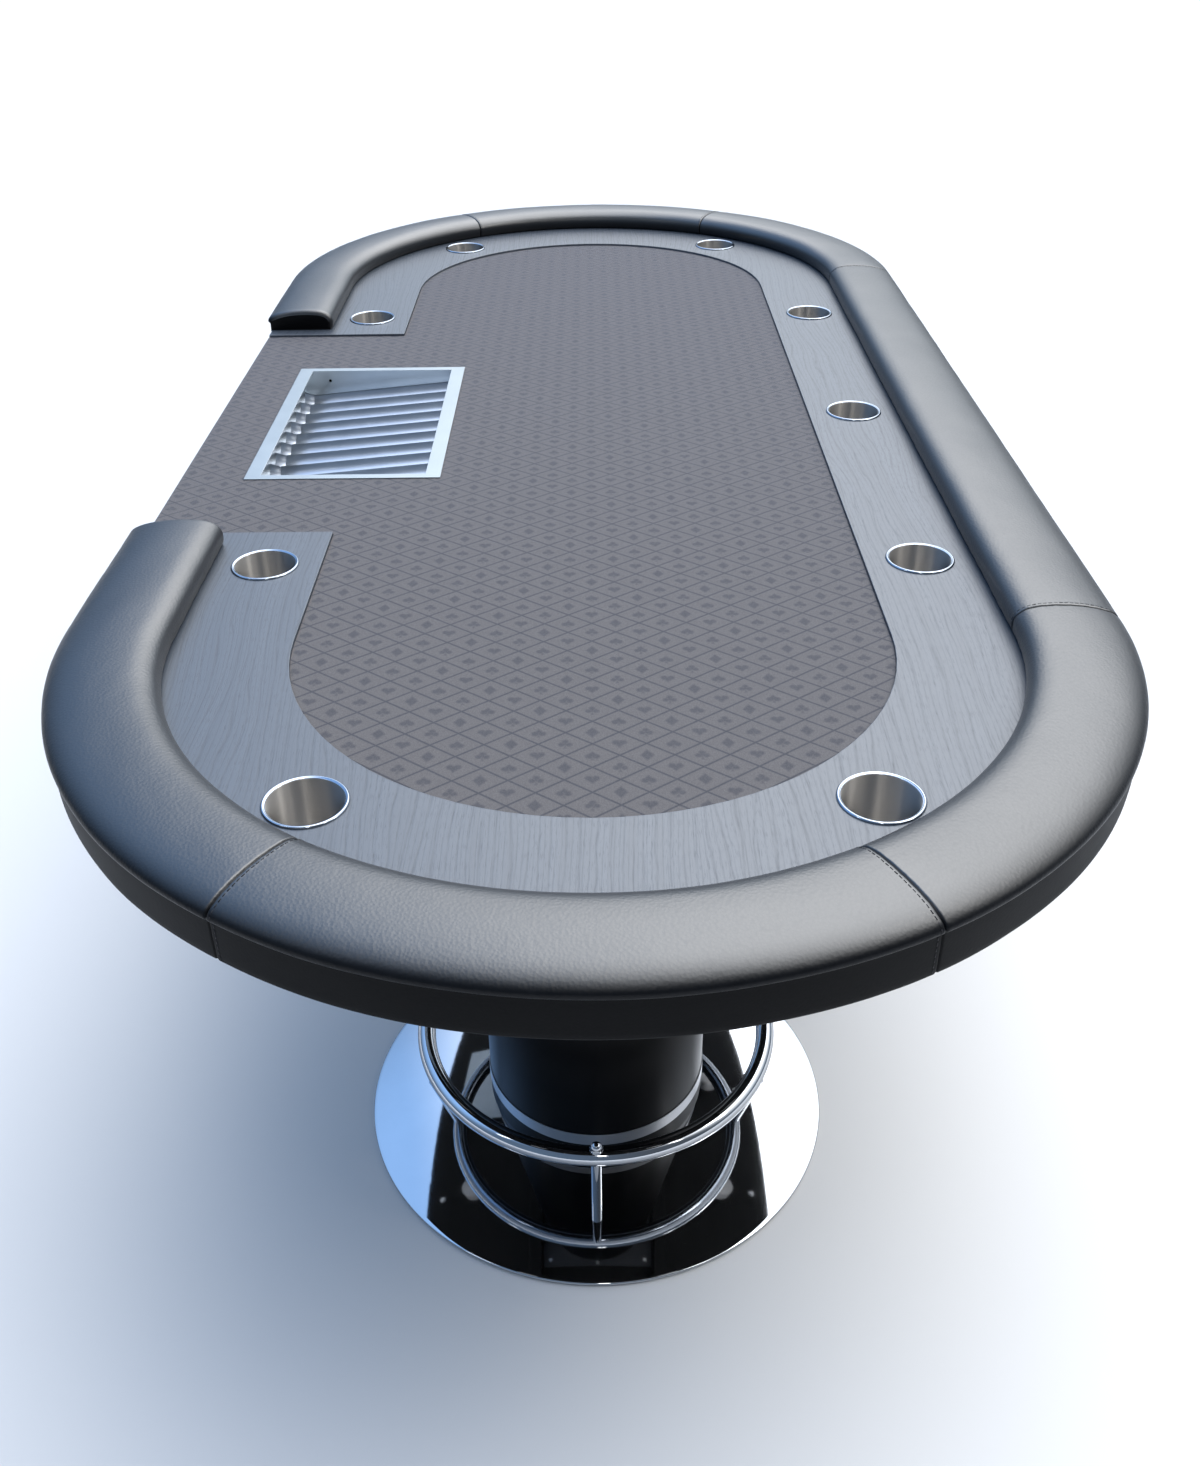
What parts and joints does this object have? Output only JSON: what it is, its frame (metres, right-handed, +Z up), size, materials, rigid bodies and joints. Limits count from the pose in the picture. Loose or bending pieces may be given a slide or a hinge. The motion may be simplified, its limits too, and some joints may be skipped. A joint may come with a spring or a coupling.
{
  "type": "casino poker table",
  "caption": "Full size oval poker table with padded armrest, timber racetrack, drop-in cup holders, chip tray and two disc pedestals with foot rings.",
  "frame": {"origin": "on the floor, under the middle of the table", "axes": "+Z up, +Y along the long axis towards the far end, +X towards the long side opposite the dealer; the dealer sits on the -X side"},
  "size_m": [1.114, 2.442, 0.796],
  "materials": {
    "cup_steel": "brushed inside, polished flange",
    "tray_aluminium": "satin anodised",
    "rack_aluminium": "satin anodised",
    "fastener_steel": "zinc plated",
    "vinyl": "soft satin grained vinyl",
    "foam": "open cell foam, hidden",
    "pad_foam": "closed cell foam, hidden",
    "cloth": "low sheen woven speed cloth with diamond lattice",
    "stained_wood": "dark blue-grey stain, open grain, satin",
    "plywood": "plywood stained black, hidden",
    "rubber_pad": "matte",
    "ballast_iron": "as cast, hidden",
    "chrome_disc": "mirror",
    "chrome_tube": "mirror",
    "band_steel": "brushed",
    "column_black": "satin black",
    "plate_black": "satin black"
  },
  "bodies": {
    "table": {"deck": "plywood", "playing_pad": "pad_foam", "speed_cloth": "cloth", "racetrack": "stained_wood", "rail_base": "plywood", "rail_foam_near_right": "foam", "rail_foam_near_left": "foam", "rail_foam_far_right": "foam", "rail_foam_far_left": "foam", "rail_foam_long_side": "foam", "rail_cover_near_end": "vinyl", "rail_cover_far_end": "vinyl", "rail_cover_near_right": "vinyl", "rail_cover_far_right": "vinyl", "rail_cover_long_side": "vinyl", "rail_cover_near_left": "vinyl", "rail_cover_far_left": "vinyl", "rail_bolts": "fastener_steel", "stringers": "plywood", "base_pad_near": "rubber_pad", "base_ballast_near": "ballast_iron", "base_disc_near": "chrome_disc", "column_near": "column_black", "column_band_near": "band_steel", "top_plate_near": "plate_black", "tie_rod_near": "fastener_steel", "tie_nut_near": "fastener_steel", "foot_ring_near": "chrome_tube", "foot_posts_near": "chrome_tube", "acorn_nuts_near": "chrome_tube", "base_pad_far": "rubber_pad", "base_ballast_far": "ballast_iron", "base_disc_far": "chrome_disc", "column_far": "column_black", "column_band_far": "band_steel", "top_plate_far": "plate_black", "tie_rod_far": "fastener_steel", "tie_nut_far": "fastener_steel", "foot_ring_far": "chrome_tube", "foot_posts_far": "chrome_tube", "acorn_nuts_far": "chrome_tube", "plate_screws": "fastener_steel"},
    "chip_tray": {"tray_frame": "tray_aluminium", "tray_rack": "rack_aluminium", "tray_end_rack": "rack_aluminium", "tray_rivets": "fastener_steel"},
    "cup_far_left_body": {"cup_far_left": "cup_steel"},
    "cup_far_right_body": {"cup_far_right": "cup_steel"},
    "cup_dealer_far_body": {"cup_dealer_far": "cup_steel"},
    "cup_right_far_body": {"cup_right_far": "cup_steel"},
    "cup_right_mid_body": {"cup_right_mid": "cup_steel"},
    "cup_right_near_body": {"cup_right_near": "cup_steel"},
    "cup_dealer_near_body": {"cup_dealer_near": "cup_steel"},
    "cup_near_right_body": {"cup_near_right": "cup_steel"},
    "cup_near_left_body": {"cup_near_left": "cup_steel"}
  },
  "joints": [
    {"name": "tray_lift", "type": "slide", "parent": "table", "child": "chip_tray", "axis": [0, 0, 1], "range_m": [0, 0.09]},
    {"name": "lift_far_left", "type": "slide", "parent": "table", "child": "cup_far_left_body", "axis": [0, 0, 1], "range_m": [0, 0.1]},
    {"name": "lift_far_right", "type": "slide", "parent": "table", "child": "cup_far_right_body", "axis": [0, 0, 1], "range_m": [0, 0.1]},
    {"name": "lift_dealer_far", "type": "slide", "parent": "table", "child": "cup_dealer_far_body", "axis": [0, 0, 1], "range_m": [0, 0.1]},
    {"name": "lift_right_far", "type": "slide", "parent": "table", "child": "cup_right_far_body", "axis": [0, 0, 1], "range_m": [0, 0.1]},
    {"name": "lift_right_mid", "type": "slide", "parent": "table", "child": "cup_right_mid_body", "axis": [0, 0, 1], "range_m": [0, 0.1]},
    {"name": "lift_right_near", "type": "slide", "parent": "table", "child": "cup_right_near_body", "axis": [0, 0, 1], "range_m": [0, 0.1]},
    {"name": "lift_dealer_near", "type": "slide", "parent": "table", "child": "cup_dealer_near_body", "axis": [0, 0, 1], "range_m": [0, 0.1]},
    {"name": "lift_near_right", "type": "slide", "parent": "table", "child": "cup_near_right_body", "axis": [0, 0, 1], "range_m": [0, 0.1]},
    {"name": "lift_near_left", "type": "slide", "parent": "table", "child": "cup_near_left_body", "axis": [0, 0, 1], "range_m": [0, 0.1]}
  ]
}
